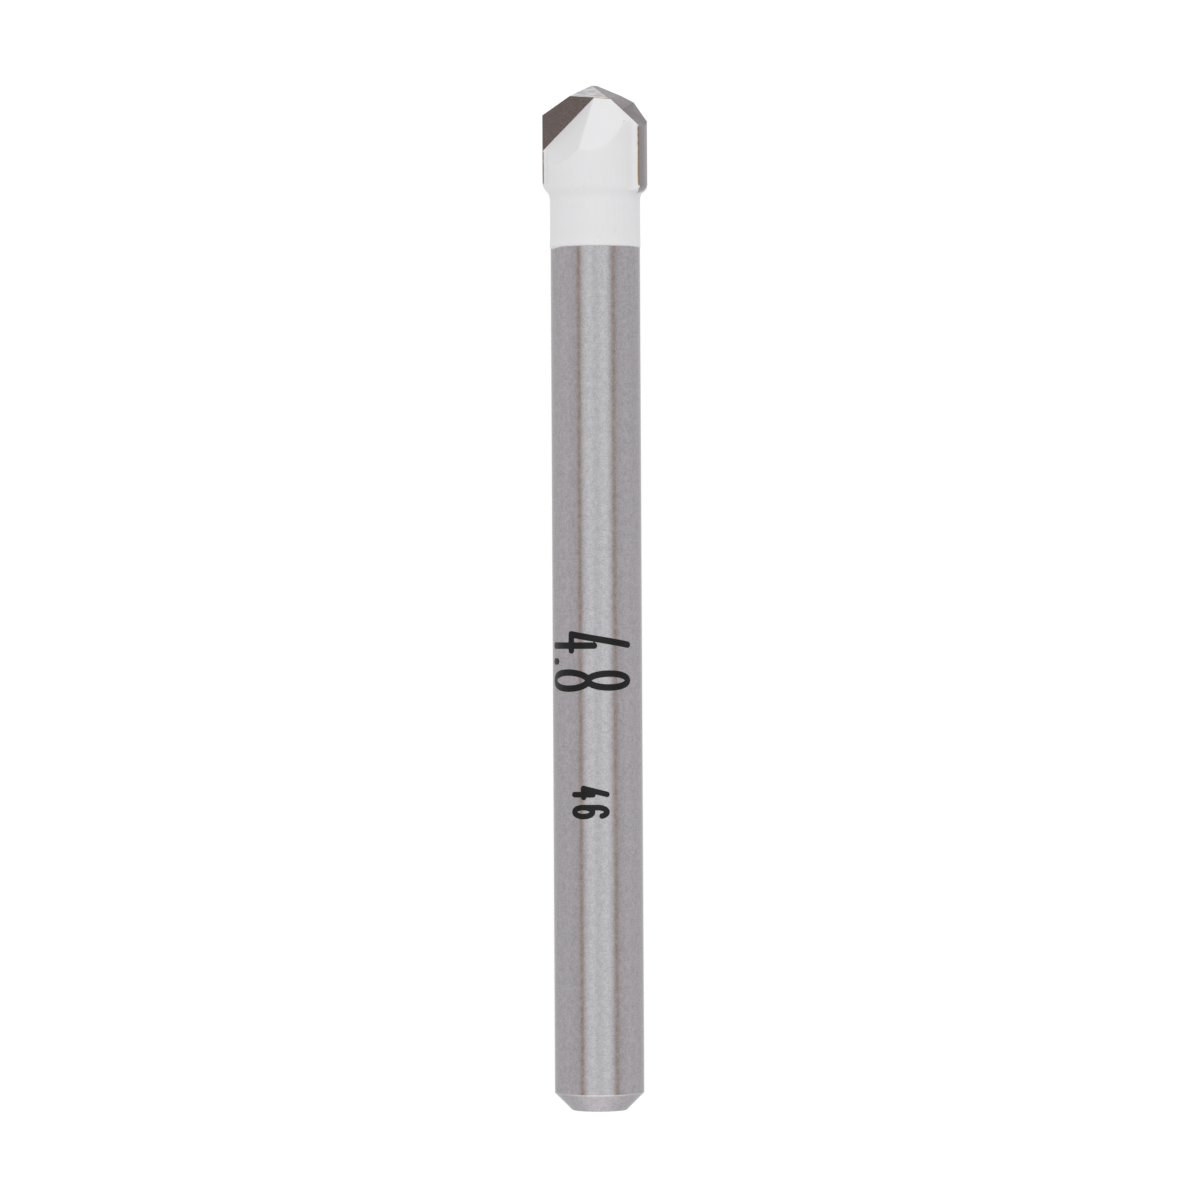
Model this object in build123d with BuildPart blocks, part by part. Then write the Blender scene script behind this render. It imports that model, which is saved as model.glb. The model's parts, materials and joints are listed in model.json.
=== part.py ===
from build123d import *
from math import cos, radians, sin, sqrt, tan
import os

os.makedirs("parts", exist_ok=True)

# A masonry drill bit lying on its side with its point towards +Y.
# Lengths are in millimetres and angles in degrees.
# The round head rests on z = 0 and the bit's axis runs level above it.

# Steel bar
overall_length = 45.8
shank_diameter = 4.0
shank_end_chamfer = 0.77
shank_end_edge_radius = 0.06
head_diameter = 4.2
head_length = 4.6
shoulder_length = 0.5

# Carbide plate and the braze that holds it
cutting_diameter = 4.76
plate_thickness = 1.0
plate_depth = 4.85
plate_nose_height = 0.28
near_corner_radius = 0.4
far_corner_radius = 0.6
plate_turn = 22.2
braze_thickness = 0.06
braze_fillet_inset = 0.03

# Ground point of the plate. A level chisel edge crosses the axis from one face of
# the plate to the other. From each of its ends a lip falls away on one side and the
# heel of the other lip falls away on the other side, in the slopes given here,
# measured from square to the axis, each out to its knee.
chisel_offset = 0.257
web_distance = 0.94
web_angle = 29.0
near_lip_web_angle = 32.0
near_lip_angle = 31.5
near_heel_angle = 42.5
far_lip_angle = 27.7
far_lip_corner_distance = 1.69
far_lip_corner_angle = 54.0
far_heel_angle = 42.0
far_heel_corner_distance = 1.475
far_heel_corner_angle = 43.0

# Web thinning on each side of the plate, where it crosses the plate's face
thinning_depth = 0.55
thinning_angle = 5.3
thinning_lean = 56.8

# Gash in the steel on each side: the floor under the rake face, and beyond the
# ridge a flatter floor that twists steeper towards the outside of the head
gash_depth = 0.748
gash_angle = 42.8
gash_lean = 55.2
backoff_depth = 0.55
backoff_angle = 5.3
backoff_outer_angle = 24.7
backoff_lean = 55.8

# Relief of the steel behind each heel
steel_relief_lean = 21.8

shank_radius = shank_diameter / 2
head_radius = head_diameter / 2
cutting_radius = cutting_diameter / 2
plate_half = plate_thickness / 2

# Reach of the blanks and cuts, so that they pass the finished head on every side
past_head = 2 * cutting_diameter
ceiling = 3 * past_head
cellar = -3 * past_head

tip = (0, overall_length / 2, max(head_radius, shank_radius))
bit_axis = Axis(tip, (0, 1, 0))

# Lengthwise half section: x outwards from the axis, y towards the point, tip at y = 0
lathe_plane = Plane(origin=tip, x_dir=(1, 0, 0), z_dir=(0, 0, 1))

# Middle plane of the plate seen from above, and the same plane after a half turn
along_plate = Vector(cos(radians(plate_turn)), 0, sin(radians(plate_turn)))
across_plate = Vector(-sin(radians(plate_turn)), 0, cos(radians(plate_turn)))
near_side = Plane(origin=tip, x_dir=along_plate, z_dir=across_plate)
far_side = Plane(origin=tip, x_dir=-along_plate, z_dir=-across_plate)

# End view of the plate and its slot: x across the plate, y towards the point
slot_plane = Plane(origin=tip, x_dir=across_plate, z_dir=-along_plate)

# View along the axis from the shank, at the depth of the plate's bottom: x along the plate
nose_plane = Plane(origin=tip, x_dir=along_plate, z_dir=(0, 1, 0)).offset(-plate_depth)


def fall(angle, run):
    """Fall of a line over a run, at an angle from square to the axis."""
    return run * tan(radians(angle))


def falling_line(start, knees, angles):
    """Corners of a line that starts level with the tip and turns at each knee."""
    corners = []
    height = 0
    for knee, angle in zip(knees, angles):
        height -= fall(angle, knee - start)
        corners.append((knee, height))
        start = knee
    return corners


def mirrored(corners):
    """The same line drawn on the other side of the axis, from its outer end inwards."""
    return [(-distance, height) for distance, height in reversed(corners)]


def above_line(height, angle):
    """Corners of the area above a line that crosses the axis at a height and falls to the right."""
    return [
        (-past_head, height + fall(angle, past_head)),
        (past_head, height - fall(angle, past_head)),
        (past_head, ceiling),
        (-past_head, ceiling),
    ]


def at_middle(depth, lean):
    """Height on the plate's middle plane of a leaning surface known at the plate's face."""
    return fall(lean, plate_half) - depth


def lean_direction(side, lean):
    """Way that a ground surface runs, outwards from the plate and down the head."""
    return side.z_dir * cos(radians(lean)) - side.y_dir * sin(radians(lean))


# Lips and heels, each outwards from its end of the chisel edge
near_lip = falling_line(
    chisel_offset,
    (web_distance, past_head),
    (near_lip_web_angle, near_lip_angle),
)
near_heel = falling_line(
    -chisel_offset,
    (web_distance, past_head),
    (web_angle, near_heel_angle),
)
far_lip = falling_line(
    chisel_offset,
    (web_distance, far_lip_corner_distance, past_head),
    (web_angle, far_lip_angle, far_lip_corner_angle),
)
far_heel = falling_line(
    -chisel_offset,
    (web_distance, far_heel_corner_distance, past_head),
    (web_angle, far_heel_angle, far_heel_corner_angle),
)


# Turned bar: chamfered shank, smooth shoulder and larger head
with BuildPart() as bar:
    shoulder_bottom = -head_length - shoulder_length
    with BuildSketch(lathe_plane) as bar_profile:
        with BuildLine():
            Polyline(
                (head_radius, -head_length),
                (head_radius, 0),
                (0, 0),
                (0, -overall_length),
                (shank_radius - shank_end_chamfer, -overall_length),
                (shank_radius, shank_end_chamfer - overall_length),
                (shank_radius, shoulder_bottom),
            )
            Spline(
                (shank_radius, shoulder_bottom),
                (head_radius, -head_length),
                tangents=((0, 1), (0, 1)),
            )
        make_face()
        low_corners = bar_profile.vertices().filter_by_position(
            Axis.Y, -overall_length, shank_end_chamfer - overall_length
        )
        fillet([corner for corner in low_corners if corner.X > 0], radius=shank_end_edge_radius)
    revolve(axis=bit_axis)


# End view of the plate with its shallow round bottom
with BuildSketch(slot_plane) as plate_section:
    nose_corner = plate_nose_height - plate_depth
    with BuildLine():
        Polyline(
            (-plate_half, nose_corner),
            (-plate_half, past_head),
            (plate_half, past_head),
            (plate_half, nose_corner),
        )
        ThreePointArc((plate_half, nose_corner), (0, -plate_depth), (-plate_half, nose_corner))
    make_face()

# The slot is wider and deeper than the plate by the braze all round
with BuildSketch(slot_plane) as slot_section:
    add(plate_section.sketch_local)
    offset(amount=braze_thickness)


# Metal ground away from the steel and the braze on each side of the plate
with BuildPart() as steel_grinding:
    for side, heel in ((near_side, far_heel), (far_side, near_heel)):
        # Floor of the gash under the rake face
        with BuildSketch(side):
            with BuildLine():
                Polyline(*above_line(at_middle(gash_depth, gash_lean), -gash_angle), close=True)
            make_face()
        extrude(amount=past_head, dir=lean_direction(side, gash_lean))

        # Flatter floor beyond the ridge, from the plate's face to outside the head
        outer_fall = fall(backoff_lean, head_radius - plate_half)
        with BuildSketch(side.offset(plate_half)):
            with BuildLine():
                Polyline(*above_line(-backoff_depth, backoff_angle), close=True)
            make_face()
        with BuildSketch(side.offset(head_radius)):
            with BuildLine():
                Polyline(*above_line(-backoff_depth - outer_fall, backoff_outer_angle), close=True)
            make_face()
        loft(ruled=True)

        # Relief that follows the heel of the plate
        relief_rise = at_middle(0, steel_relief_lean)
        raised_heel = [(distance, height + relief_rise) for distance, height in heel]
        with BuildSketch(side):
            with BuildLine():
                Polyline(
                    (-chisel_offset, relief_rise),
                    *raised_heel,
                    (past_head, ceiling),
                    (-chisel_offset, ceiling),
                    close=True,
                )
            make_face()
        extrude(amount=past_head, dir=lean_direction(side, steel_relief_lean))


# What is ground away outside the cutting diameter and under each lower corner of the plate
with BuildPart() as end_grinding:
    for side, corner_radius in ((near_side, near_corner_radius), (far_side, far_corner_radius)):
        with BuildSketch(Plane(origin=tip, x_dir=side.z_dir, z_dir=-side.x_dir)):
            with BuildLine():
                Polyline(
                    (cutting_radius, corner_radius - plate_depth),
                    (cutting_radius, past_head),
                    (2 * past_head, past_head),
                    (2 * past_head, cellar),
                    (cutting_radius - corner_radius, cellar),
                    (cutting_radius - corner_radius, -plate_depth),
                )
                RadiusArc(
                    (cutting_radius - corner_radius, -plate_depth),
                    (cutting_radius, corner_radius - plate_depth),
                    -corner_radius,
                )
            make_face()
        revolve(axis=bit_axis, revolution_arc=180)


# Steel body: the bar with the slot through its head and the ground faces
with BuildPart() as bit_body:
    add(bar.part)
    with BuildSketch(slot_plane):
        add(slot_section.sketch_local)
    extrude(amount=past_head, both=True, mode=Mode.SUBTRACT)
    add(steel_grinding.part, mode=Mode.SUBTRACT)


# Carbide plate: its relief faces run from the lip on one face to the heel on the other
with BuildPart() as carbide_tip:
    with BuildSketch(near_side.offset(plate_half)):
        with BuildLine():
            Polyline(
                (-past_head, cellar),
                *mirrored(near_lip),
                (-chisel_offset, 0),
                *far_heel,
                (past_head, cellar),
                close=True,
            )
        make_face()
    with BuildSketch(near_side.offset(-plate_half)):
        with BuildLine():
            Polyline(
                (-past_head, cellar),
                *mirrored(near_heel),
                (chisel_offset, 0),
                *far_lip,
                (past_head, cellar),
                close=True,
            )
        make_face()
    loft(ruled=True)

    # Shallow round bottom
    with BuildSketch(slot_plane):
        add(plate_section.sketch_local)
    extrude(amount=past_head, both=True, mode=Mode.INTERSECT)

    # Ends ground round to the cutting diameter, with rounded lower corners
    add(end_grinding.part, mode=Mode.SUBTRACT)

    # Web thinned from both sides
    for side in (near_side, far_side):
        with BuildSketch(side):
            with BuildLine():
                Polyline(*above_line(at_middle(thinning_depth, thinning_lean), thinning_angle), close=True)
            make_face()
        extrude(amount=past_head, dir=lean_direction(side, thinning_lean), mode=Mode.SUBTRACT)


# Braze: a thin U between the plate and the slot, and a hollow fillet in each of the
# four corners that the plate's sides make with the head
with BuildPart() as braze_fillets:
    plate_corner = sqrt(cutting_radius**2 - plate_half**2) - braze_fillet_inset
    reach = plate_corner**2 + plate_half**2
    fillet_radius = (reach - head_radius**2) / 2 / (head_radius - plate_half)
    fillet_top = plate_half + fillet_radius
    with BuildSketch(nose_plane):
        for along in (plate_corner, -plate_corner):
            for across in (fillet_top, -fillet_top):
                with BuildLine():
                    Polyline((0, 0), (along, 0), (along, across), close=True)
                make_face()
        with GridLocations(2 * plate_corner, 2 * fillet_top, 2, 2):
            Circle(fillet_radius, mode=Mode.SUBTRACT)
    extrude(amount=past_head)
    add(bar.part, mode=Mode.SUBTRACT)
    add(end_grinding.part, mode=Mode.SUBTRACT)

with BuildPart() as braze_seam:
    with BuildSketch(slot_plane):
        add(slot_section.sketch_local)
    extrude(amount=past_head, both=True)
    add(bar.part, mode=Mode.INTERSECT)
    add(braze_fillets.part)
    with BuildSketch(slot_plane):
        add(plate_section.sketch_local)
    extrude(amount=past_head, both=True, mode=Mode.SUBTRACT)
    add(steel_grinding.part, mode=Mode.SUBTRACT)


bit_body.part.label = "bit_body"
export_step(bit_body.part, "parts/bit_body.step")

carbide_tip.part.label = "carbide_tip"
export_step(carbide_tip.part, "parts/carbide_tip.step")

braze_seam.part.label = "braze_seam"
export_step(braze_seam.part, "parts/braze_seam.step")
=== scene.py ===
"""Finishes, paint, marks, floor, light and camera for a masonry drill bit that lies on a pale floor.

The bit lies along Y with its point towards +Y. All sizes are in metres.
"""

import json
from math import cos, pi, radians, sin, tan

import bmesh
import bpy
from bpy.props import FloatProperty, FloatVectorProperty, IntProperty, PointerProperty, StringProperty
from mathutils import Matrix, Vector


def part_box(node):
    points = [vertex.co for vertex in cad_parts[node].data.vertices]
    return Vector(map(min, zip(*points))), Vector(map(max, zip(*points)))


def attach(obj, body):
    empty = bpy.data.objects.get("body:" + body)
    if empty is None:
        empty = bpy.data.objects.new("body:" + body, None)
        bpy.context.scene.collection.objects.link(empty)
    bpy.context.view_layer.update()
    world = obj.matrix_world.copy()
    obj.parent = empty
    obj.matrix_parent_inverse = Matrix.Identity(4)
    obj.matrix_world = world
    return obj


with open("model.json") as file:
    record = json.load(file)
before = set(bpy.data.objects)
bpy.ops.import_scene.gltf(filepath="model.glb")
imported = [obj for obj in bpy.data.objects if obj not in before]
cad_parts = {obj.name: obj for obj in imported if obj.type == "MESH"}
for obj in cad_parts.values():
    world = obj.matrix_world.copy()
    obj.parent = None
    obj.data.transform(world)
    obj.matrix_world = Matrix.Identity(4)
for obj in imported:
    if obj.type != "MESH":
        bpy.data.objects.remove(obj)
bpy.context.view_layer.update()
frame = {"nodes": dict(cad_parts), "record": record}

bl_info = {
    "name": "Masonry drill bit",
    "version": (1, 0, 0),
    "blender": (4, 5, 0),
    "location": "3D View > Sidebar > Drill bit",
    "description": "Dresses a masonry drill bit with ground steel, carbide, braze, paint and marks",
    "category": "Object",
}

MM = 0.001

# Sizes that the frame gives
STEEL_LOW, STEEL_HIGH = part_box("bit_body")
PLATE_LOW, PLATE_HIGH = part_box("carbide_tip")
SHANK = next(mount for mount in frame["record"]["mounts"] if mount["name"] == "shank")
SHANK_RADIUS = SHANK["dims"]["r_mm"] * MM
AXIS_HEIGHT = SHANK["pos_m"][2]
TIP_Y = PLATE_HIGH.y
END_Y = STEEL_LOW.y
CUTTING_RADIUS = 2.38 * MM

# The plate's turn about the axis, its half thickness, the braze beside it, the slope of its thinned web and its directions
PLATE_TURN = radians(22.2)
PLATE_HALF = 0.5 * MM
BRAZE = 0.06 * MM
THINNING_ANGLE = radians(5.3)
ALONG_PLATE = Vector((cos(PLATE_TURN), 0, sin(PLATE_TURN)))
ACROSS_PLATE = Vector((-sin(PLATE_TURN), 0, cos(PLATE_TURN)))

# The way that the floor of a gash faces: the part across the axis, which is turned round on the other side, and the part ahead
GASH_FLOOR_SIDEWAYS = ACROSS_PLATE * 0.726 - ALONG_PLATE * 0.467
GASH_FLOOR_AHEAD = Vector((0, 0.505, 0))

# The photograph: its side in pixels, its focal length in pixels, the place of the bit's middle in it and its lean
PHOTO_SIDE = 1200
PHOTO_FOCAL = 5846
PHOTO_SCALE = 22.35
PHOTO_MIDDLE = (597.05, 597.6)
PHOTO_LEAN = 0.30


def length_prop(name, description, default):
    """A length in metres that a user can change."""
    return FloatProperty(name=name, description=description, default=default, min=0, precision=6, unit="LENGTH")


def share_prop(name, description, default):
    """A share from 0 to 1 that a user can change."""
    return FloatProperty(name=name, description=description, default=default, min=0, max=1, subtype="FACTOR")


def colour_prop(name, description, default):
    """A linear colour that a user can change."""
    return FloatVectorProperty(name=name, description=description, default=default, size=3, min=0, max=1, subtype="COLOR")


class SteelSettings(bpy.types.PropertyGroup):
    colour: colour_prop("Steel", "Colour of the ground steel", (0.362, 0.343, 0.358))
    roughness: share_prop("Roughness", "Roughness of the ground steel", 0.28)
    anisotropy: share_prop("Anisotropy", "How much further highlights spread along the shank than across it", 0.81)
    edge_tint: share_prop("Edge tint", "How white the steel turns where it is seen edge on", 0.8)
    grain: length_prop("Grain", "Size of the speckle that grinding leaves", 0.065 * MM)
    chamfer: length_prop("Chamfer", "Length of the chamfer at the shank's end", 0.77 * MM)


class CarbideSettings(bpy.types.PropertyGroup):
    colour: colour_prop("Carbide", "Colour of the carbide plate", (0.262, 0.236, 0.246))
    roughness: share_prop("Roughness", "Roughness of the carbide plate", 0.23)
    # Painted shade: each of the three shades below darkens the plate's colour on faces that turn one way
    side_painted_shade: share_prop("Side shade", "How dark the plate's sides are next to its ground point", 0.66)
    corner_painted_shade: share_prop("Corner shade", "How dark the steep facets at the outer corners are", 0.85)
    end_painted_shade: share_prop("End shade", "How dark the plate's round ends are", 0.90)
    grain: length_prop("Grain", "Size of the mottle in the carbide", 0.09 * MM)


class BrazeSettings(bpy.types.PropertyGroup):
    colour: colour_prop("Braze", "Colour of the brazing metal", (0.62, 0.44, 0.20))
    roughness: share_prop("Roughness", "Roughness of the brazing metal", 0.38)


class PaintSettings(bpy.types.PropertyGroup):
    colour: colour_prop("Paint", "Colour of the white paint", (0.778, 0.774, 0.786))
    roughness: share_prop("Roughness", "Roughness of the paint", 0.45)
    line: length_prop("Painted length", "From the point to the lower edge of the paint", 7.27 * MM)
    top: length_prop("Bare point", "From the point to the upper edge of the paint, beside the thinned web", 0.592 * MM)
    lap: length_prop("Lap", "How far the paint laps over the braze towards the plate's corners", 0.022 * MM)
    sag: length_prop("Sag", "How far the lower edge sags on one side", 0.07 * MM)
    film: length_prop("Film", "Thickness of the paint", 0.018 * MM)
    bead: length_prop("Bead", "Thickness of the bead along the paint's lower edge", 0.026 * MM)
    bead_width: length_prop("Bead width", "Distance over which the bead thins out to the film", 0.60 * MM)
    waviness: length_prop("Waviness", "How far the paint's lower edge wanders", 0.012 * MM)
    cell: length_prop("Cell", "Size of the faces that the coat is made of", 0.05 * MM)


class MarkSettings(bpy.types.PropertyGroup):
    size_text: StringProperty(name="Size", description="Drilling diameter in millimetres", default="4.8")
    length_text: StringProperty(name="Length", description="Length of the bit in millimetres", default="46")
    ink: colour_prop("Ink", "Colour of the marks", (0.0045, 0.0042, 0.0045))
    size_height: length_prop("Size height", "Height of the size's figures, round the shank", 3.88 * MM)
    size_width: length_prop("Size width", "Width of one of the size's figures", 0.72 * MM)
    size_stroke: length_prop("Size stroke", "Width of the size's strokes", 0.29 * MM)
    length_height: length_prop("Length height", "Height of the length's figures, round the shank", 1.50 * MM)
    length_width: length_prop("Length width", "Width of one of the length's figures", 0.40 * MM)
    length_stroke: length_prop("Length stroke", "Width of the length's strokes", 0.25 * MM)
    thickness: length_prop("Thickness", "Thickness of the ink", 0.006 * MM)
    cell: length_prop("Cell", "Size of the faces that the marks are made of", 0.03 * MM)


class StageSettings(bpy.types.PropertyGroup):
    floor_side: length_prop("Floor", "Side of the square floor", 3.0)
    floor_colour: colour_prop("Floor colour", "Colour of the floor", (0.86, 0.86, 0.86))
    ambient: FloatProperty(name="Ambient", description="Strength of the soft light from all round", default=0.82, min=0)
    key_power: FloatProperty(name="Key light", description="Power of the light above and beyond the point", default=0.72, min=0, unit="POWER")
    shadow: share_prop("Shadow", "How much of the floor's shadow the camera sees", 0.35)


# Building blocks for materials

def new_material(name):
    """A node material with a Principled shader, and its tree and shader."""
    material = bpy.data.materials.new(name)
    material.use_nodes = True
    tree = material.node_tree
    shader = next(node for node in tree.nodes if node.type == "BSDF_PRINCIPLED")
    return material, tree, shader


def add_node(tree, kind, inputs=None, **settings):
    """A node of a kind, with settings on it and values or links on its inputs."""
    node = tree.nodes.new(kind)
    for name, value in settings.items():
        setattr(node, name, value)
    for name, value in (inputs or {}).items():
        if isinstance(value, bpy.types.NodeSocket):
            tree.links.new(value, node.inputs[name])
        else:
            node.inputs[name].default_value = value
    return node


def maths(tree, operation, *values):
    """The result of a Math node."""
    return add_node(tree, "ShaderNodeMath", dict(enumerate(values)), operation=operation).outputs[0]


def vector_maths(tree, operation, *values):
    """The Vector result of a Vector Math node."""
    return add_node(tree, "ShaderNodeVectorMath", dict(enumerate(values)), operation=operation).outputs["Vector"]


def dot(tree, vector, direction):
    """The dot product of a vector and a fixed direction."""
    node = add_node(tree, "ShaderNodeVectorMath", {0: vector, 1: direction}, operation="DOT_PRODUCT")
    return node.outputs["Value"]


def place(tree):
    """Object coordinates, which are the row frame's own metres."""
    return add_node(tree, "ShaderNodeTexCoord").outputs["Object"]


def grain(tree, vector, size, detail=2.0, stretch=(1, 1, 1), roughness=0.5):
    """Noise whose features have a real size, stretched along any axis."""
    spread = add_node(tree, "ShaderNodeMapping", {"Vector": vector, "Scale": [1 / (size * s) for s in stretch]})
    noise = add_node(tree, "ShaderNodeTexNoise", {
        "Vector": spread.outputs["Vector"], "Scale": 1.0, "Detail": detail, "Roughness": roughness,
    })
    return noise.outputs["Fac"]


def between(tree, value, low, high, new_low=0.0, new_high=1.0):
    """A value mapped from one span to another, smoothly and held at the ends."""
    node = add_node(tree, "ShaderNodeMapRange", {
        "Value": value, "From Min": low, "From Max": high, "To Min": new_low, "To Max": new_high,
    }, interpolation_type="SMOOTHSTEP")
    return node.outputs["Result"]


def mix_colour(tree, factor, first, second, blend="MIX"):
    """A mix of two colours."""
    node = tree.nodes.new("ShaderNodeMix")
    node.data_type = "RGBA"
    node.blend_type = blend
    sockets = {"Factor_Float": factor, "A_Color": first, "B_Color": second}
    for socket in node.inputs:
        value = sockets.get(socket.identifier)
        if isinstance(value, bpy.types.NodeSocket):
            tree.links.new(value, socket)
        elif value is not None:
            socket.default_value = value
    return next(socket for socket in node.outputs if socket.identifier == "Result_Color")


def scaled(colour, factor):
    """A colour made lighter or darker, as four numbers."""
    return tuple(min(1.0, channel * factor) for channel in colour) + (1.0,)


def bump(tree, height, depth, strength=1.0):
    """A normal from a height that runs from 0 to 1 over a real depth."""
    node = add_node(tree, "ShaderNodeBump", {"Height": height, "Distance": depth, "Strength": strength})
    return node.outputs["Normal"]


def wear_only(piece, material):
    """Gives a piece this one material."""
    piece.data.materials.clear()
    piece.data.materials.append(material)


# Building blocks for meshes

def object_from(mesh, name):
    """A new object at the origin that shows a mesh."""
    piece = bpy.data.objects.new(name, mesh)
    bpy.context.scene.collection.objects.link(piece)
    return piece


def finished_mesh(piece):
    """The piece's mesh with its modifiers applied. The modifiers are removed."""
    graph = bpy.context.evaluated_depsgraph_get()
    mesh = bpy.data.meshes.new_from_object(piece.evaluated_get(graph))
    piece.modifiers.clear()
    return mesh


def new_group(name, sockets):
    """A Geometry Nodes tree with named inputs, its input node and its output node."""
    group = bpy.data.node_groups.new(name, "GeometryNodeTree")
    group.interface.new_socket("Geometry", in_out="INPUT", socket_type="NodeSocketGeometry")
    for socket_name, kind, default in sockets:
        socket = group.interface.new_socket(socket_name, in_out="INPUT", socket_type=kind)
        if default is not None:
            socket.default_value = default
    group.interface.new_socket("Geometry", in_out="OUTPUT", socket_type="NodeSocketGeometry")
    return group, group.nodes.new("NodeGroupInput"), group.nodes.new("NodeGroupOutput")


def run_group(piece, group, values):
    """Runs a tree on a piece with these inputs, and gives the mesh that it makes."""
    modifier = piece.modifiers.new(group.name, "NODES")
    modifier.node_group = group
    sockets = {item.name: item.identifier for item in group.interface.items_tree if item.in_out == "INPUT"}
    for name, value in values.items():
        modifier[sockets[name]] = value
    return finished_mesh(piece)


def close_group(group, output, geometry, material):
    """Ends a tree in Realize Instances and Set Material."""
    real = add_node(group, "GeometryNodeRealizeInstances", {"Geometry": geometry})
    dressed = add_node(group, "GeometryNodeSetMaterial", {"Geometry": real.outputs[0], "Material": material})
    group.links.new(dressed.outputs[0], output.inputs[0])


def thickened(group, mesh, thickness):
    """A closed sheet: the mesh turned over, the same mesh pushed out by a thickness, and the sides between."""
    pushed = add_node(group, "GeometryNodeExtrudeMesh", {"Mesh": mesh, "Offset Scale": thickness, "Individual": False})
    under = add_node(group, "GeometryNodeFlipFaces", {"Mesh": mesh})
    both = add_node(group, "GeometryNodeJoinGeometry")
    group.links.new(under.outputs[0], both.inputs[0])
    group.links.new(pushed.outputs["Mesh"], both.inputs[0])
    return add_node(group, "GeometryNodeMergeByDistance", {"Geometry": both.outputs[0], "Distance": 1e-9}).outputs[0]


# Materials

def steel_material(s):
    """Centreless-ground steel: highlights that stay narrow across the shank and spread along it, under fine speckle."""
    material, tree, shader = new_material("ground_steel")
    spot = place(tree)
    speckle = grain(tree, spot, s.grain, detail=2.0, roughness=0.6)
    mottle = grain(tree, spot, 3 * s.grain, detail=1.0, stretch=(1, 1.5, 1))
    shade = maths(tree, "ADD", maths(tree, "MULTIPLY", speckle, 0.72), maths(tree, "MULTIPLY", mottle, 0.28))
    tone = between(tree, shade, 0.34, 0.66)
    colour = mix_colour(tree, tone, scaled(s.colour, 0.86), scaled(s.colour, 1.14))
    # The chamfer's colour is made a little lighter, as painted light from the shank's end, and a painted highlight runs
    # along its upper edge
    along = add_node(tree, "ShaderNodeSeparateXYZ", {0: spot}).outputs["Y"]
    turned = between(tree, along, END_Y + s.chamfer, END_Y + s.chamfer - 0.02 * MM)
    colour = mix_colour(tree, turned, colour, (1.08, 1.08, 1.08, 1), blend="MULTIPLY")
    # Painted highlight: a thin band along the chamfer's upper edge is made lighter
    from_edge = maths(tree, "ABSOLUTE", maths(tree, "SUBTRACT", along, END_Y + s.chamfer))
    painted_edge_highlight = between(tree, from_edge, 0.045 * MM, 0.02 * MM)
    colour = mix_colour(tree, painted_edge_highlight, colour, scaled(s.colour, 1.3))
    tree.links.new(colour, shader.inputs["Base Color"])
    tree.links.new(between(tree, mottle, 0.3, 0.7, s.roughness - 0.02, s.roughness + 0.02), shader.inputs["Roughness"])
    shader.inputs["Metallic"].default_value = 1.0
    shader.inputs["Anisotropic"].default_value = s.anisotropy
    shader.inputs["Specular Tint"].default_value = (s.edge_tint, s.edge_tint, s.edge_tint, 1)
    # Highlights spread along the shank, and outwards from the axis on its flat end
    from_axis = vector_maths(tree, "SUBTRACT", spot, (0, 0, AXIS_HEIGHT))
    outwards = vector_maths(tree, "NORMALIZE", vector_maths(tree, "MULTIPLY", from_axis, (1, 0, 1)))
    spread = vector_maths(tree, "ADD", vector_maths(tree, "MULTIPLY", outwards, (0.5, 0.5, 0.5)), (0, 1, 0))
    tree.links.new(spread, shader.inputs["Tangent"])
    # Facing cuts ring the flat end
    radius = add_node(tree, "ShaderNodeVectorMath", {0: vector_maths(tree, "MULTIPLY", from_axis, (1, 0, 1))}, operation="LENGTH")
    rings = maths(tree, "SINE", maths(tree, "MULTIPLY", radius.outputs["Value"], 2 * pi / (0.06 * MM)))
    flat_end = between(tree, along, END_Y + 0.02 * MM, END_Y)
    height = maths(tree, "ADD", speckle, maths(tree, "MULTIPLY", rings, maths(tree, "MULTIPLY", flat_end, 1.5)))
    tree.links.new(bump(tree, height, 0.0005 * MM), shader.inputs["Normal"])
    return material


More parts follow.
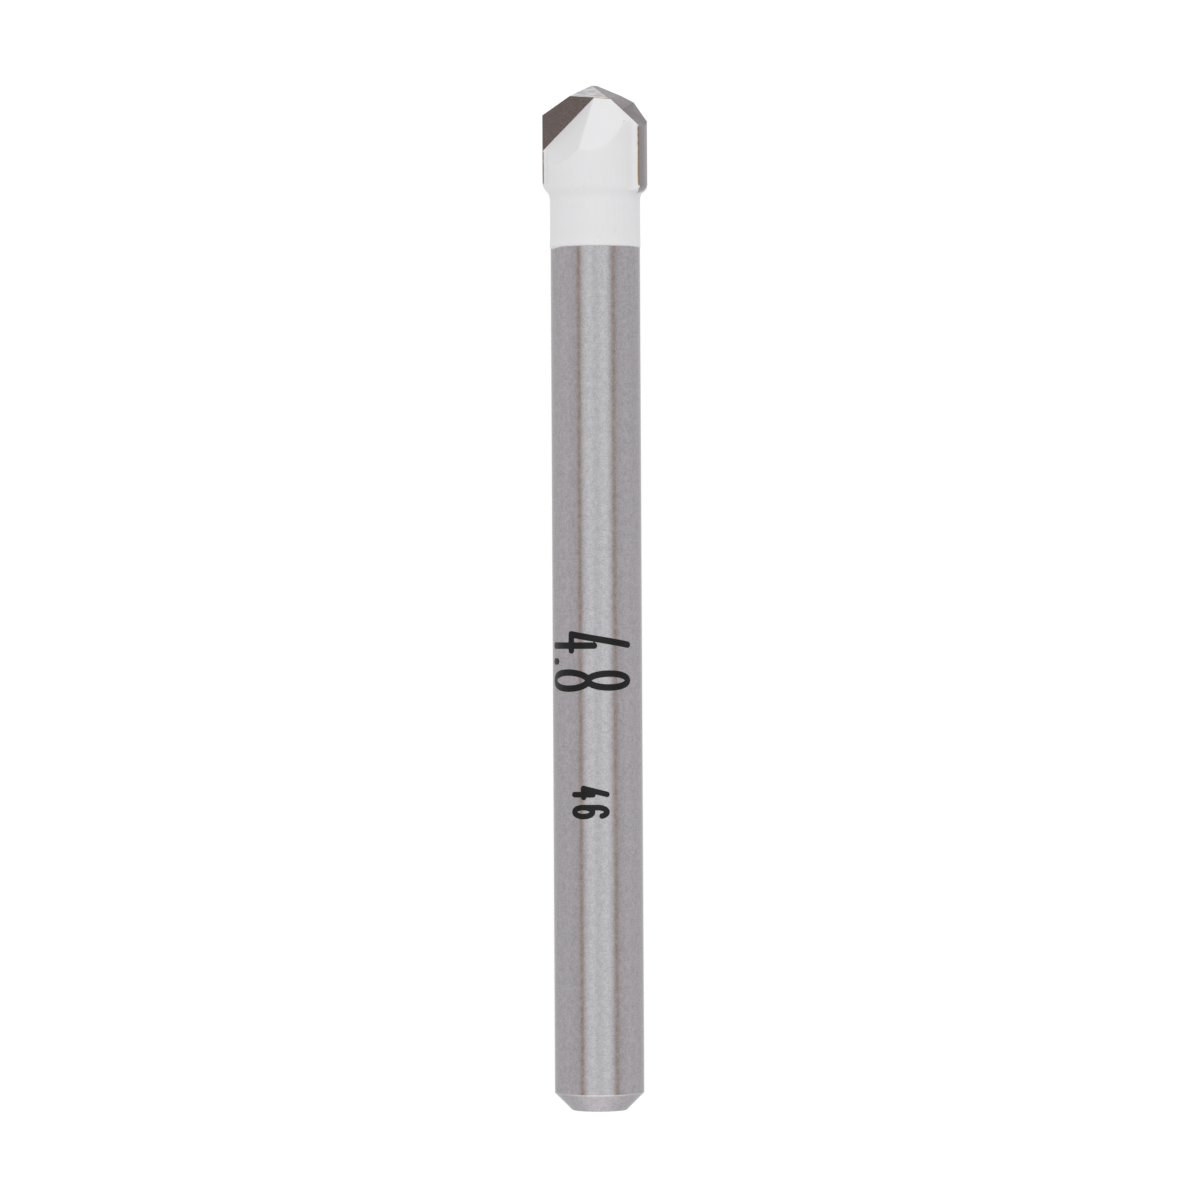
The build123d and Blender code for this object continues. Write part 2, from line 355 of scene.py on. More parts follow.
def carbide_material(s):
    """Sintered and ground carbide: mottled brown grey, with painted shade on its sides, steep corner facets and round
    ends, and a painted highlight with grinding streaks where the web is thinned.
    """
    material, tree, shader = new_material("ground_carbide")
    spot = place(tree)
    mottle = grain(tree, spot, s.grain, detail=2.0, roughness=0.6)
    drag = grain(tree, spot, 0.11 * MM, detail=2.0, stretch=(5, 1, 5))
    tone = between(tree, maths(tree, "ADD", maths(tree, "MULTIPLY", mottle, 0.7), maths(tree, "MULTIPLY", drag, 0.3)), 0.32, 0.68)
    colour = mix_colour(tree, tone, scaled(s.colour, 0.93), scaled(s.colour, 1.07))
    # Which face of the plate this is, from the way that it faces, for the painted shade and the painted highlight below
    facing = add_node(tree, "ShaderNodeNewGeometry").outputs["True Normal"]
    across = maths(tree, "ABSOLUTE", dot(tree, facing, ACROSS_PLATE))
    ahead = dot(tree, facing, (0, 1, 0))
    side = between(tree, across, 0.92, 0.97)
    thinned = maths(tree, "MULTIPLY", between(tree, across, 0.70, 0.76), maths(tree, "SUBTRACT", 1.0, side))
    steep = maths(tree, "MULTIPLY", between(tree, ahead, 0.73, 0.68), between(tree, ahead, 0.56, 0.60))
    steep = maths(tree, "MULTIPLY", steep, maths(tree, "SUBTRACT", 1.0, thinned))
    end = between(tree, maths(tree, "ABSOLUTE", dot(tree, facing, ALONG_PLATE)), 0.90, 0.95)
    # Painted shade: the sides, the steep corner facets and the round ends are made darker by the way that they face
    for face, shade in ((side, s.side_painted_shade), (steep, s.corner_painted_shade), (end, s.end_painted_shade)):
        colour = mix_colour(tree, face, colour, scaled((shade,) * 3, 1.0), blend="MULTIPLY")
    # Painted highlight: the thinned web is made lighter than the rest of the plate, with real grinding streaks in it
    streaks = grain(tree, spot, 0.05 * MM, detail=2.0, stretch=(10, 1, 10))
    thinned_highlight_and_streaks = mix_colour(tree, between(tree, streaks, 0.36, 0.64), (0.33, 0.325, 0.33, 1), (0.46, 0.46, 0.465, 1))
    colour = mix_colour(tree, thinned, colour, thinned_highlight_and_streaks)
    tree.links.new(colour, shader.inputs["Base Color"])
    tree.links.new(between(tree, mottle, 0.3, 0.7, s.roughness - 0.03, s.roughness + 0.03), shader.inputs["Roughness"])
    shader.inputs["Metallic"].default_value = 1.0
    tree.links.new(bump(tree, mottle, 0.0005 * MM), shader.inputs["Normal"])
    return material


def braze_material(s):
    """Brazing metal: yellow, darker where flux has burnt on."""
    material, tree, shader = new_material("braze")
    spot = place(tree)
    burnt = grain(tree, spot, 0.35 * MM, detail=3.0)
    colour = mix_colour(tree, between(tree, burnt, 0.35, 0.65), scaled(s.colour, 0.6), scaled(s.colour, 1.05))
    tree.links.new(colour, shader.inputs["Base Color"])
    tree.links.new(between(tree, burnt, 0.3, 0.7, s.roughness + 0.08, s.roughness - 0.04), shader.inputs["Roughness"])
    shader.inputs["Metallic"].default_value = 1.0
    tree.links.new(bump(tree, burnt, 0.004 * MM), shader.inputs["Normal"])
    return material


def paint_material(s):
    """Satin white paint with a faint unevenness and a few pale specks."""
    material, tree, shader = new_material("white_paint")
    spot = place(tree)
    cloud = grain(tree, spot, 0.9 * MM, detail=3.0)
    speckle = grain(tree, spot, 0.07 * MM, detail=1.0)
    tone = between(tree, maths(tree, "ADD", maths(tree, "MULTIPLY", cloud, 0.6), maths(tree, "MULTIPLY", speckle, 0.4)), 0.35, 0.65)
    colour = mix_colour(tree, tone, scaled(s.colour, 0.99), scaled(s.colour, 1.01))
    # Painted shade: a little greyer on the floors of the gashes, found by the way that they face
    facing = add_node(tree, "ShaderNodeNewGeometry").outputs["Normal"]
    sideways = maths(tree, "ABSOLUTE", dot(tree, facing, GASH_FLOOR_SIDEWAYS))
    gash_floor_painted_shade = between(tree, maths(tree, "ADD", sideways, dot(tree, facing, GASH_FLOOR_AHEAD)), 0.93, 0.99)
    colour = mix_colour(tree, gash_floor_painted_shade, colour, scaled(s.colour, 0.925))
    dust = between(tree, grain(tree, spot, 0.14 * MM, detail=0.0), 0.83, 0.87)
    colour = mix_colour(tree, dust, colour, scaled(s.colour, 0.88))
    tree.links.new(colour, shader.inputs["Base Color"])
    tree.links.new(between(tree, speckle, 0.3, 0.7, s.roughness - 0.04, s.roughness + 0.06), shader.inputs["Roughness"])
    peel = grain(tree, spot, 0.22 * MM, detail=2.0)
    tree.links.new(bump(tree, peel, 0.002 * MM), shader.inputs["Normal"])
    return material


def ink_material(s):
    """Black ink on steel, a little uneven."""
    material, tree, shader = new_material("black_ink")
    spot = place(tree)
    speckle = grain(tree, spot, 0.08 * MM, detail=2.0)
    colour = mix_colour(tree, between(tree, speckle, 0.35, 0.65), scaled(s.ink, 0.7), scaled(s.ink, 1.6))
    tree.links.new(colour, shader.inputs["Base Color"])
    tree.links.new(between(tree, speckle, 0.3, 0.7, 0.34, 0.44), shader.inputs["Roughness"])
    shader.inputs["Specular IOR Level"].default_value = 0.2
    return material


class DRILLBIT_OT_steel(bpy.types.Operator):
    """Give the steel body its ground finish"""
    bl_idname = "drillbit.steel"
    bl_label = "Steel body"

    def execute(self, context):
        body = frame["nodes"]["bit_body"]
        wear_only(body, steel_material(context.scene.drillbit_steel))
        return {"FINISHED"}


class DRILLBIT_OT_carbide(bpy.types.Operator):
    """Give the carbide plate its sintered and ground finish"""
    bl_idname = "drillbit.carbide"
    bl_label = "Carbide plate"

    def execute(self, context):
        plate = frame["nodes"]["carbide_tip"]
        wear_only(plate, carbide_material(context.scene.drillbit_carbide))
        return {"FINISHED"}


class DRILLBIT_OT_braze(bpy.types.Operator):
    """Give the braze seam its finish"""
    bl_idname = "drillbit.braze"
    bl_label = "Braze seam"

    def execute(self, context):
        seam = frame["nodes"]["braze_seam"]
        wear_only(seam, braze_material(context.scene.drillbit_braze))
        return {"FINISHED"}


# Paint coat

def plate_place(point):
    """A point's distance along the plate, across it and below its tip."""
    offset = point - Vector((0, TIP_Y, AXIS_HEIGHT))
    return offset.dot(ALONG_PLATE), offset.dot(ACROSS_PLATE), -offset.y


def painted_solid(s):
    """The head's steel and braze in millimetres, cut off below the paint and grown inwards until they meet in the plate."""
    touching = 0.005 * MM
    grown = 0.7
    raised = 0.4 * MM
    plate_depth = TIP_Y - PLATE_LOW.y
    solid = bmesh.new()
    for node, reach in (("bit_body", PLATE_HALF + BRAZE + touching), ("braze_seam", PLATE_HALF + touching)):
        piece = bmesh.new()
        piece.from_mesh(frame["nodes"][node].data)
        bmesh.ops.remove_doubles(piece, verts=piece.verts, dist=1e-7)
        piece.normal_update()
        walls = []
        for face in piece.faces:
            beside = all(abs(plate_place(vertex.co)[1]) < reach for vertex in face.verts)
            if beside and abs(face.normal.dot(ALONG_PLATE)) < 0.3 and face.normal.y > -0.5:
                walls.append(face)
        added = bmesh.ops.extrude_face_region(piece, geom=walls)["geom"]
        for vertex in added:
            if isinstance(vertex, bmesh.types.BMVert):
                along, across, depth = plate_place(vertex.co)
                lift = raised if depth > plate_depth - raised else 0
                vertex.co += Vector((0, lift, 0)) - ACROSS_PLATE * across * grown
        for vertex in piece.verts:
            along, across, depth = plate_place(vertex.co)
            if abs(along) > CUTTING_RADIUS - 0.12 * MM:
                vertex.co += ALONG_PLATE * (s.lap if along > 0 else -s.lap)
        mesh = bpy.data.meshes.new(node + "_grown")
        piece.to_mesh(mesh)
        piece.free()
        solid.from_mesh(mesh)
    cut = Vector((0, TIP_Y - s.line - 0.4 * MM, 0))
    every = solid.verts[:] + solid.edges[:] + solid.faces[:]
    bmesh.ops.bisect_plane(solid, geom=every, plane_co=cut, plane_no=(0, 1, 0), clear_inner=True)
    bmesh.ops.holes_fill(solid, edges=[edge for edge in solid.edges if edge.is_boundary])
    bmesh.ops.triangulate(solid, faces=solid.faces)
    bmesh.ops.scale(solid, vec=(1 / MM,) * 3, verts=solid.verts)
    mesh = bpy.data.meshes.new("painted_solid")
    solid.to_mesh(mesh)
    solid.free()
    return mesh


def softened(mesh, s):
    """The mesh made again from small even faces with its edges a little rounded, as paint rounds them."""
    piece = object_from(mesh, "soft_head")
    even = piece.modifiers.new("even", "REMESH")
    even.mode = "VOXEL"
    even.voxel_size = s.cell / MM
    even.use_smooth_shade = True
    soft = piece.modifiers.new("soft", "SMOOTH")
    soft.factor = 0.5
    soft.iterations = 5
    result = finished_mesh(piece)
    bpy.data.objects.remove(piece)
    result.transform(Matrix.Scale(MM, 4))
    return result


def painted_skin(s):
    """The head's skin between the paint's edges, without what hides inside the plate."""
    skin = bmesh.new()
    skin.from_mesh(softened(painted_solid(s), s))
    line = Vector((0, TIP_Y - s.line, 0))
    every = skin.verts[:] + skin.edges[:] + skin.faces[:]
    bmesh.ops.bisect_plane(skin, geom=every, plane_co=line, plane_no=(0, 1, 0), clear_inner=True)
    # Beside the thinned web the paint stops short of the plate, on both of the plate's sides
    upper = Vector((0, TIP_Y - s.top, AXIS_HEIGHT))
    for side in (1, -1):
        half = [face for face in skin.faces if side * plate_place(face.calc_center_median())[1] > 0]
        edges = {edge for face in half for edge in face.edges}
        corners = {vertex for face in half for vertex in face.verts}
        slope = Vector((0, 1, 0)) + ALONG_PLATE * side * tan(THINNING_ANGLE)
        bmesh.ops.bisect_plane(
            skin, geom=[*half, *edges, *corners], plane_co=upper, plane_no=slope, clear_outer=True,
        )
    hidden = []
    sunk = 0.05 * MM
    nose = 0.28 * MM
    for face in skin.faces:
        along, across, depth = plate_place(face.calc_center_median())
        if abs(across) < PLATE_HALF - sunk and depth < TIP_Y - PLATE_LOW.y - nose - sunk:
            hidden.append(face)
    bmesh.ops.delete(skin, geom=hidden, context="FACES")
    mesh = bpy.data.meshes.new("painted_skin")
    skin.to_mesh(mesh)
    skin.free()
    return mesh


def coat_group(material):
    """A paint film that follows the skin under it, with a bead along its wavy lower edge."""
    group, given, output = new_group("paint_coat", [
        ("Line", "NodeSocketFloat", 0.0),
        ("Film", "NodeSocketFloat", 0.0),
        ("Bead", "NodeSocketFloat", 0.0),
        ("Bead Width", "NodeSocketFloat", 0.0),
        ("Waviness", "NodeSocketFloat", 0.0),
        ("Sag", "NodeSocketFloat", 0.0),
    ])
    spot = add_node(group, "GeometryNodeInputPosition").outputs[0]
    parts = add_node(group, "ShaderNodeSeparateXYZ", {0: spot}).outputs
    above = maths(group, "SUBTRACT", parts["Y"], given.outputs["Line"])
    # The edge wanders a little, less and less up the head
    near = maths(group, "SUBTRACT", 1.0, maths(group, "DIVIDE", above, given.outputs["Bead Width"]))
    near = add_node(group, "ShaderNodeClamp", {"Value": near}).outputs[0]
    slow = vector_maths(group, "MULTIPLY", spot, (1 / (1.3 * MM), 0, 1 / (1.3 * MM)))
    wander = add_node(group, "ShaderNodeTexNoise", {"Vector": slow, "Scale": 1.0, "Detail": 3.0}).outputs["Fac"]
    wander = maths(group, "MULTIPLY", maths(group, "SUBTRACT", wander, 0.5), maths(group, "MULTIPLY", given.outputs["Waviness"], 4.0))
    sagging = between(group, parts["X"], -0.72 * SHANK_RADIUS, -0.99 * SHANK_RADIUS)
    wander = maths(group, "SUBTRACT", wander, maths(group, "MULTIPLY", sagging, given.outputs["Sag"]))
    moved = add_node(group, "ShaderNodeCombineXYZ", {"Y": maths(group, "MULTIPLY", wander, near)}).outputs[0]
    wavy = add_node(group, "GeometryNodeSetPosition", {"Geometry": given.outputs[0], "Offset": moved}).outputs[0]
    # The bead is thickest on the side that the paint ran to
    side = maths(group, "SUBTRACT", 1.0, maths(group, "MULTIPLY", parts["X"], 0.5 / SHANK_RADIUS))
    rise = maths(group, "MULTIPLY", maths(group, "MULTIPLY", near, near), given.outputs["Bead"])
    thickness = maths(group, "ADD", given.outputs["Film"], maths(group, "MULTIPLY", rise, side))
    edge = maths(group, "DIVIDE", above, maths(group, "MULTIPLY", given.outputs["Bead Width"], 0.09))
    edge = add_node(group, "ShaderNodeClamp", {"Value": edge}).outputs[0]
    edge = maths(group, "POWER", edge, 0.5)
    thickness = maths(group, "MULTIPLY", thickness, edge)
    thickness = maths(group, "ADD", thickness, 0.001 * MM)
    normal = add_node(group, "GeometryNodeInputNormal").outputs[0]
    push = add_node(group, "ShaderNodeVectorMath", {0: normal, "Scale": thickness}, operation="SCALE").outputs[0]
    outer = add_node(group, "GeometryNodeSetPosition", {"Geometry": wavy, "Offset": push}).outputs[0]
    shell = thickened(group, outer, maths(group, "MULTIPLY", given.outputs["Film"], -1.5))
    shell = add_node(group, "GeometryNodeFlipFaces", {"Mesh": shell}).outputs[0]
    close_group(group, output, shell, material)
    return group


class DRILLBIT_OT_paint(bpy.types.Operator):
    """Coat the head with white paint down to its line"""
    bl_idname = "drillbit.paint"
    bl_label = "White paint"

    def execute(self, context):
        s = context.scene.drillbit_paint
        skin = object_from(painted_skin(s), "paint_skin")
        coat = object_from(run_group(skin, coat_group(paint_material(s)), {
            "Line": TIP_Y - s.line,
            "Film": s.film,
            "Bead": s.bead,
            "Bead Width": s.bead_width,
            "Waviness": s.waviness,
            "Sag": s.sag,
        }), "white_paint")
        bpy.data.objects.remove(skin)
        coat.data.polygons.foreach_set("use_smooth", [True] * len(coat.data.polygons))
        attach(coat, "root")
        return {"FINISHED"}


# Marks

def arc(centre, size, start, end, steps=28):
    """Points along part of an ellipse, from one angle to another in degrees."""
    points = []
    for step in range(steps + 1):
        angle = radians(start + (end - start) * step / steps)
        points.append((centre[0] + size[0] * cos(angle), centre[1] + size[1] * sin(angle)))
    return points


def figure_strokes(figure):
    """The centre lines of a figure's strokes, in a box one unit wide and one high."""
    return {
        "4": [
            [(0.66, 1.0), (0.0, 0.30), (1.0, 0.30)],
            [(0.70, 0.58), (0.70, 0.0)],
        ],
        "6": [
            arc((0.5, 0.285), (0.5, 0.285), 0, 360),
            arc((0.5, 0.72), (0.5, 0.28), 28, 180) + [(0.0, 0.285)],
        ],
        "8": [
            arc((0.5, 0.755), (0.43, 0.245), 0, 360),
            arc((0.5, 0.255), (0.5, 0.255), 0, 360),
        ],
        ".": [
            [(0.0, 0.0), (0.0, 0.05)],
        ],
    }[figure]


def number_curve(text, width, height, stroke):
    """The centre lines of a number, centred on the origin, reading along X with its top towards Y."""
    gap = 0.20 * MM
    curve = bpy.data.curves.new("number", "CURVE")
    reach = 0
    for figure in text:
        figure_width = 0 if figure == "." else width
        for stroke_points in figure_strokes(figure):
            spline = curve.splines.new("POLY")
            spline.points.add(len(stroke_points) - 1)
            for point, (x, y) in zip(spline.points, stroke_points):
                point.co = (reach + x * (figure_width or width), (y - 0.5) * height, 0, 1)
        reach += figure_width + stroke + gap
    middle = (reach - stroke - gap) / 2
    for spline in curve.splines:
        for point in spline.points:
            point.co.x -= middle
    return curve


def mark_group(material):
    """Flat strokes filled with small faces, wrapped round a cylinder and given a thickness."""
    group, given, output = new_group("wrapped_mark", [
        ("Stroke", "NodeSocketFloat", 0.0),
        ("Cell", "NodeSocketFloat", 0.0),
        ("Radius", "NodeSocketFloat", 0.0),
        ("Turn", "NodeSocketFloat", 0.0),
        ("Place", "NodeSocketFloat", 0.0),
        ("Height", "NodeSocketFloat", 0.0),
        ("Thickness", "NodeSocketFloat", 0.0),
    ])
    half = maths(group, "MULTIPLY", given.outputs["Stroke"], 0.5)
    lines = add_node(group, "GeometryNodeCurveToMesh", {"Curve": given.outputs[0]}).outputs[0]
    box = add_node(group, "GeometryNodeBoundBox", {"Geometry": lines}).outputs
    reach = add_node(group, "ShaderNodeCombineXYZ", {"X": given.outputs["Stroke"], "Y": given.outputs["Stroke"]}).outputs[0]
    low = vector_maths(group, "SUBTRACT", box["Min"], reach)
    high = vector_maths(group, "ADD", box["Max"], reach)
    size = add_node(group, "ShaderNodeSeparateXYZ", {0: vector_maths(group, "SUBTRACT", high, low)}).outputs
    middle = vector_maths(group, "MULTIPLY", vector_maths(group, "ADD", low, high), (0.5, 0.5, 0.5))
    grid = add_node(group, "GeometryNodeMeshGrid", {
        "Size X": size["X"],
        "Size Y": size["Y"],
        "Vertices X": maths(group, "DIVIDE", size["X"], given.outputs["Cell"]),
        "Vertices Y": maths(group, "DIVIDE", size["Y"], given.outputs["Cell"]),
    }).outputs["Mesh"]
    sheet = add_node(group, "GeometryNodeSetPosition", {"Geometry": grid, "Offset": middle}).outputs[0]
    near = add_node(group, "GeometryNodeProximity", {0: lines}, target_element="EDGES").outputs
    # Faces away from the strokes go
    outside = maths(group, "GREATER_THAN", near["Distance"], half)
    sheet = add_node(group, "GeometryNodeDeleteGeometry", {"Geometry": sheet, "Selection": outside}, domain="FACE").outputs[0]
    # The corners on the rim move on to the stroke's edge
    faces = add_node(group, "GeometryNodeInputMeshEdgeNeighbors").outputs[0]
    rim = add_node(group, "FunctionNodeCompare", {2: faces, 3: 1}, data_type="INT", operation="EQUAL").outputs[0]
    rim = add_node(group, "GeometryNodeFieldOnDomain", {0: rim}, data_type="BOOLEAN", domain="EDGE").outputs[0]
    spot = add_node(group, "GeometryNodeInputPosition").outputs[0]
    away = vector_maths(group, "NORMALIZE", vector_maths(group, "SUBTRACT", spot, near["Position"]))
    edge = add_node(group, "ShaderNodeVectorMath", {0: away, "Scale": half}, operation="SCALE").outputs[0]
    edge = vector_maths(group, "ADD", near["Position"], edge)
    sheet = add_node(group, "GeometryNodeSetPosition", {"Geometry": sheet, "Selection": rim, "Position": edge}).outputs[0]
    # Round the cylinder
    flat = add_node(group, "ShaderNodeSeparateXYZ", {0: spot}).outputs
    angle = maths(group, "ADD", maths(group, "DIVIDE", flat["Y"], given.outputs["Radius"]), given.outputs["Turn"])
    wrapped = add_node(group, "ShaderNodeCombineXYZ", {
        "X": maths(group, "MULTIPLY", maths(group, "SINE", angle), given.outputs["Radius"]),
        "Y": maths(group, "SUBTRACT", given.outputs["Place"], flat["X"]),
        "Z": maths(group, "ADD", maths(group, "MULTIPLY", maths(group, "COSINE", angle), given.outputs["Radius"]), given.outputs["Height"]),
    }).outputs[0]
    sheet = add_node(group, "GeometryNodeSetPosition", {"Geometry": sheet, "Position": wrapped}).outputs[0]
    close_group(group, output, thickened(group, sheet, given.outputs["Thickness"]), material)
    return group


def make_mark(s, group, name, text, width, height, stroke, turn, y):
    """One number on the shank, reading towards its end with the tops of its figures towards +X."""
    lines = object_from(number_curve(text, width, height, stroke), name + "_lines")
    mark = object_from(run_group(lines, group, {
        "Stroke": stroke,
        "Cell": s.cell,
        "Radius": SHANK_RADIUS,
        "Turn": radians(turn),
        "Place": y,
        "Height": AXIS_HEIGHT,
        "Thickness": s.thickness,
    }), name)
    bpy.data.objects.remove(lines)
    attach(mark, "root")


class DRILLBIT_OT_marks(bpy.types.Operator):
    """Print the size and the length on the shank"""
    bl_idname = "drillbit.marks"
    bl_label = "Marks"

    def execute(self, context):
        s = context.scene.drillbit_marks
        group = mark_group(ink_material(s))
        make_mark(
            s, group, "size_mark", s.size_text, s.size_width, s.size_height, s.size_stroke,
            turn=-13.1, y=photo_y(661),
        )
        make_mark(
            s, group, "length_mark", s.length_text, s.length_width, s.length_height, s.length_stroke,
            turn=-10.1, y=photo_y(801),
        )
        return {"FINISHED"}


def photo_y(row):
    """The place along the bit of a row of the photograph, on top of the shank."""
    return (PHOTO_MIDDLE[1] - row) / PHOTO_SCALE * MM


# Stage

def floor_material(s):
    """Pale floor that reads white to the camera and in reflections, and still takes the bit's shadow."""
    material = bpy.data.materials.new("pale_floor")
    material.use_nodes = True
    tree = material.node_tree
    tree.nodes.clear()
    rays = add_node(tree, "ShaderNodeLightPath").outputs
    lit = add_node(tree, "ShaderNodeBsdfDiffuse", {"Color": scaled(s.floor_colour, 1.0)}).outputs[0]
    glow = add_node(tree, "ShaderNodeEmission", {"Color": (1, 1, 1, 1), "Strength": 1.25}).outputs[0]
    paler = maths(tree, "MULTIPLY", rays["Is Camera Ray"], 1 - s.shadow)
    floor = add_node(tree, "ShaderNodeMixShader", {0: paler, 1: lit, 2: glow}).outputs[0]
    white = add_node(tree, "ShaderNodeEmission", {"Color": (1, 1, 1, 1), "Strength": 1.0}).outputs[0]
    mirrored = maths(tree, "MAXIMUM", rays["Is Glossy Ray"], rays["Is Transmission Ray"])
    shown = add_node(tree, "ShaderNodeMixShader", {0: mirrored, 1: floor, 2: white}).outputs[0]
    output = add_node(tree, "ShaderNodeOutputMaterial")
    tree.links.new(shown, output.inputs["Surface"])
    return material


# What stands round the bit in its reflections, across the shank from left to right: the lean from
# straight up in degrees, and the colour there, where 1 is the white of the walls
REFLECTED = (
    (-90, (1.06, 1.06, 1.06)),
    (-70, (0.96, 0.96, 0.97)),
    (-50, (0.92, 0.90, 0.90)),
    (-48, (0.62, 0.47, 0.34)),
    (-41.5, (0.62, 0.47, 0.34)),
    (-39.5, (1.00, 0.98, 0.97)),
    (-32, (1.24, 1.28, 1.28)),
    (-18, (1.40, 1.47, 1.46)),
    (-11, (1.39, 1.46, 1.45)),
    (-6, (1.22, 1.29, 1.29)),
    (6, (1.22, 1.29, 1.29)),
    (14, (1.38, 1.45, 1.44)),
    (27, (1.39, 1.46, 1.45)),
    (34, (1.22, 1.26, 1.27)),
    (41, (0.95, 0.94, 0.93)),
    (43, (0.66, 0.55, 0.45)),
    (51, (0.68, 0.58, 0.48)),
    (54, (0.92, 0.90, 0.90)),
    (70, (0.97, 0.97, 0.98)),
    (90, (1.08, 1.08, 1.08)),
)


def reflected_ramp(tree, lean):
    """The colours in REFLECTED, each halved so that none passes 1."""
    first, last = REFLECTED[0][0], REFLECTED[-1][0]
    place_on_ramp = maths(tree, "DIVIDE", maths(tree, "SUBTRACT", lean, radians(first)), radians(last - first))
    node = add_node(tree, "ShaderNodeValToRGB", {"Fac": place_on_ramp})
    stops = node.color_ramp.elements
    while len(stops) < len(REFLECTED):
        stops.new(0.5)
    for stop, (angle, colour) in zip(stops, REFLECTED):
        stop.position = (angle - first) / (last - first)
        stop.color = scaled(colour, 0.5)
    return node.outputs["Color"]


def studio_world(s):
    """White all round. Reflections also show the light above, the darker gaps beside it and the lights at both ends."""
    world = bpy.data.worlds.new("studio")
    world.use_nodes = True
    tree = world.node_tree
    tree.nodes.clear()
    rays = add_node(tree, "ShaderNodeLightPath").outputs
    way = add_node(tree, "ShaderNodeSeparateXYZ", {0: add_node(tree, "ShaderNodeTexCoord").outputs["Generated"]}).outputs
    wall = reflected_ramp(tree, maths(tree, "ARCTAN2", way["X"], way["Z"]))
    wall = mix_colour(tree, between(tree, way["Y"], 0.62, 0.78), wall, (0.72, 0.72, 0.73, 1))
    wall = mix_colour(tree, between(tree, way["Y"], -0.45, -0.75), wall, (0.86, 0.86, 0.86, 1))
    mirrored = add_node(tree, "ShaderNodeBackground", {"Color": wall, "Strength": 2.0}).outputs[0]
    ambient = add_node(tree, "ShaderNodeBackground", {"Color": (1, 1, 1, 1), "Strength": s.ambient}).outputs[0]
    white = add_node(tree, "ShaderNodeBackground", {"Color": (1, 1, 1, 1), "Strength": 1.0}).outputs[0]
    clear = maths(tree, "MAXIMUM", rays["Is Camera Ray"], rays["Is Transmission Ray"])
    both = add_node(tree, "ShaderNodeMixShader", {0: clear, 1: ambient, 2: white}).outputs[0]
    both = add_node(tree, "ShaderNodeMixShader", {0: rays["Is Glossy Ray"], 1: both, 2: mirrored}).outputs[0]
    output = add_node(tree, "ShaderNodeOutputWorld")
    tree.links.new(both, output.inputs["Surface"])
    return world


def add_panel_light(name, aim, direction, distance, size, power):
    """A soft light that shines on a point from a direction. Mirror reflections get theirs from the studio's walls."""
    lamp = bpy.data.lights.new(name, "AREA")
    lamp.shape = "RECTANGLE"
    lamp.size, lamp.size_y = size
    lamp.energy = power
    light = bpy.data.objects.new(name, lamp)
    bpy.context.scene.collection.objects.link(light)
    direction = Vector(direction).normalized()
    light.location = Vector(aim) + direction * distance
    light.rotation_mode = "QUATERNION"
    light.rotation_quaternion = direction.to_track_quat("Z", "Y")
    light.visible_camera = False
    light.visible_glossy = False
    return light


def add_camera():
    """The photograph's camera, looking straight down on the lying bit."""
    data = bpy.data.cameras.new("camera")
    data.sensor_width = 36
    data.lens = data.sensor_width * PHOTO_FOCAL / PHOTO_SIDE
    data.clip_start, data.clip_end = 0.01, 10
    camera = bpy.data.objects.new("camera", data)
    bpy.context.scene.collection.objects.link(camera)
    # From the image's centre to the bit's middle, in millimetres to the right and up
    right = (PHOTO_MIDDLE[0] - PHOTO_SIDE / 2) / PHOTO_SCALE
    up = (PHOTO_SIDE / 2 - PHOTO_MIDDLE[1]) / PHOTO_SCALE
    lean = radians(PHOTO_LEAN)
    centre = ((TIP_Y + END_Y) / 2)
    camera.location = (
        -(right * cos(lean) + up * sin(lean)) * MM,
        centre - (up * cos(lean) - right * sin(lean)) * MM,
        AXIS_HEIGHT + PHOTO_FOCAL / PHOTO_SCALE * MM,
    )
    camera.rotation_euler = (0, 0, -lean)
    bpy.context.scene.camera = camera


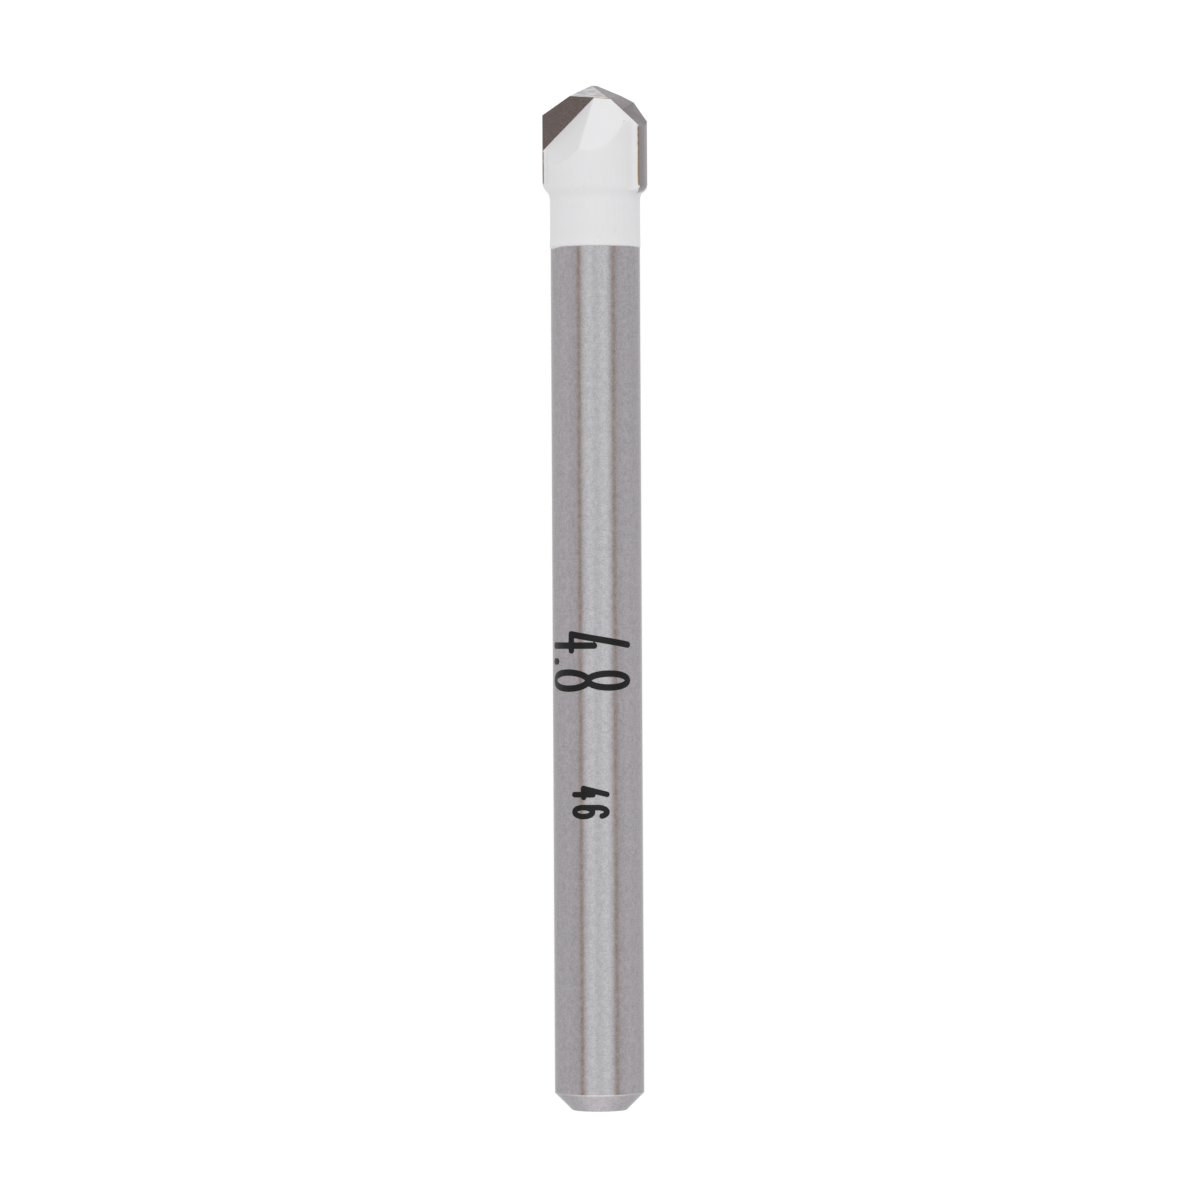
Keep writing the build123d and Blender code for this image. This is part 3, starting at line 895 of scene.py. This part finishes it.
class DRILLBIT_OT_stage(bpy.types.Operator):
    """Set the floor, the lights and the camera"""
    bl_idname = "drillbit.stage"
    bl_label = "Floor, light and camera"

    def execute(self, context):
        s = context.scene.drillbit_stage
        context.scene.view_settings.view_transform = "Standard"
        mesh = bpy.data.meshes.new("floor")
        half = s.floor_side / 2
        low = -context.scene.drillbit_paint.film - 0.003 * MM
        mesh.from_pydata(
            [(-half, -half, low), (half, -half, low), (half, half, low), (-half, half, low)], [], [(0, 1, 2, 3)],
        )
        floor = object_from(mesh, "floor")
        wear_only(floor, floor_material(s))
        context.scene.world = studio_world(s)
        middle = (0, (TIP_Y + END_Y) / 2, AXIS_HEIGHT)
        add_panel_light("key_light", middle, (0, 0.72, 0.69), 0.6, (0.4, 0.3), s.key_power)
        add_camera()
        return {"FINISHED"}


class DRILLBIT_PT_sidebar(bpy.types.Panel):
    """The bit's pieces and their settings"""
    bl_idname = "DRILLBIT_PT_sidebar"
    bl_label = "Masonry drill bit"
    bl_space_type = "VIEW_3D"
    bl_region_type = "UI"
    bl_category = "Drill bit"

    def draw(self, context):
        for operator, settings in STEPS:
            box = self.layout.box()
            box.operator(operator.bl_idname)
            group = getattr(context.scene, settings)
            for name in group.bl_rna.properties.keys():
                if name not in ("rna_type", "name"):
                    box.prop(group, name)


SETTINGS = {
    "drillbit_steel": SteelSettings,
    "drillbit_carbide": CarbideSettings,
    "drillbit_braze": BrazeSettings,
    "drillbit_paint": PaintSettings,
    "drillbit_marks": MarkSettings,
    "drillbit_stage": StageSettings,
}
STEPS = (
    (DRILLBIT_OT_steel, "drillbit_steel"),
    (DRILLBIT_OT_carbide, "drillbit_carbide"),
    (DRILLBIT_OT_braze, "drillbit_braze"),
    (DRILLBIT_OT_paint, "drillbit_paint"),
    (DRILLBIT_OT_marks, "drillbit_marks"),
    (DRILLBIT_OT_stage, "drillbit_stage"),
)
CLASSES = (*SETTINGS.values(), *(operator for operator, _ in STEPS), DRILLBIT_PT_sidebar)


def register():
    """Adds the classes and the scene's settings."""
    for added in CLASSES:
        bpy.utils.register_class(added)
    for name, group in SETTINGS.items():
        setattr(bpy.types.Scene, name, PointerProperty(type=group))


def unregister():
    """Removes them again."""
    for name in SETTINGS:
        delattr(bpy.types.Scene, name)
    for added in reversed(CLASSES):
        bpy.utils.unregister_class(added)


def main():
    """Makes every piece in order."""
    register()
    for operator, _ in STEPS:
        family, name = operator.bl_idname.split(".")
        getattr(getattr(bpy.ops, family), name)()


if __name__ == "__main__":
    main()
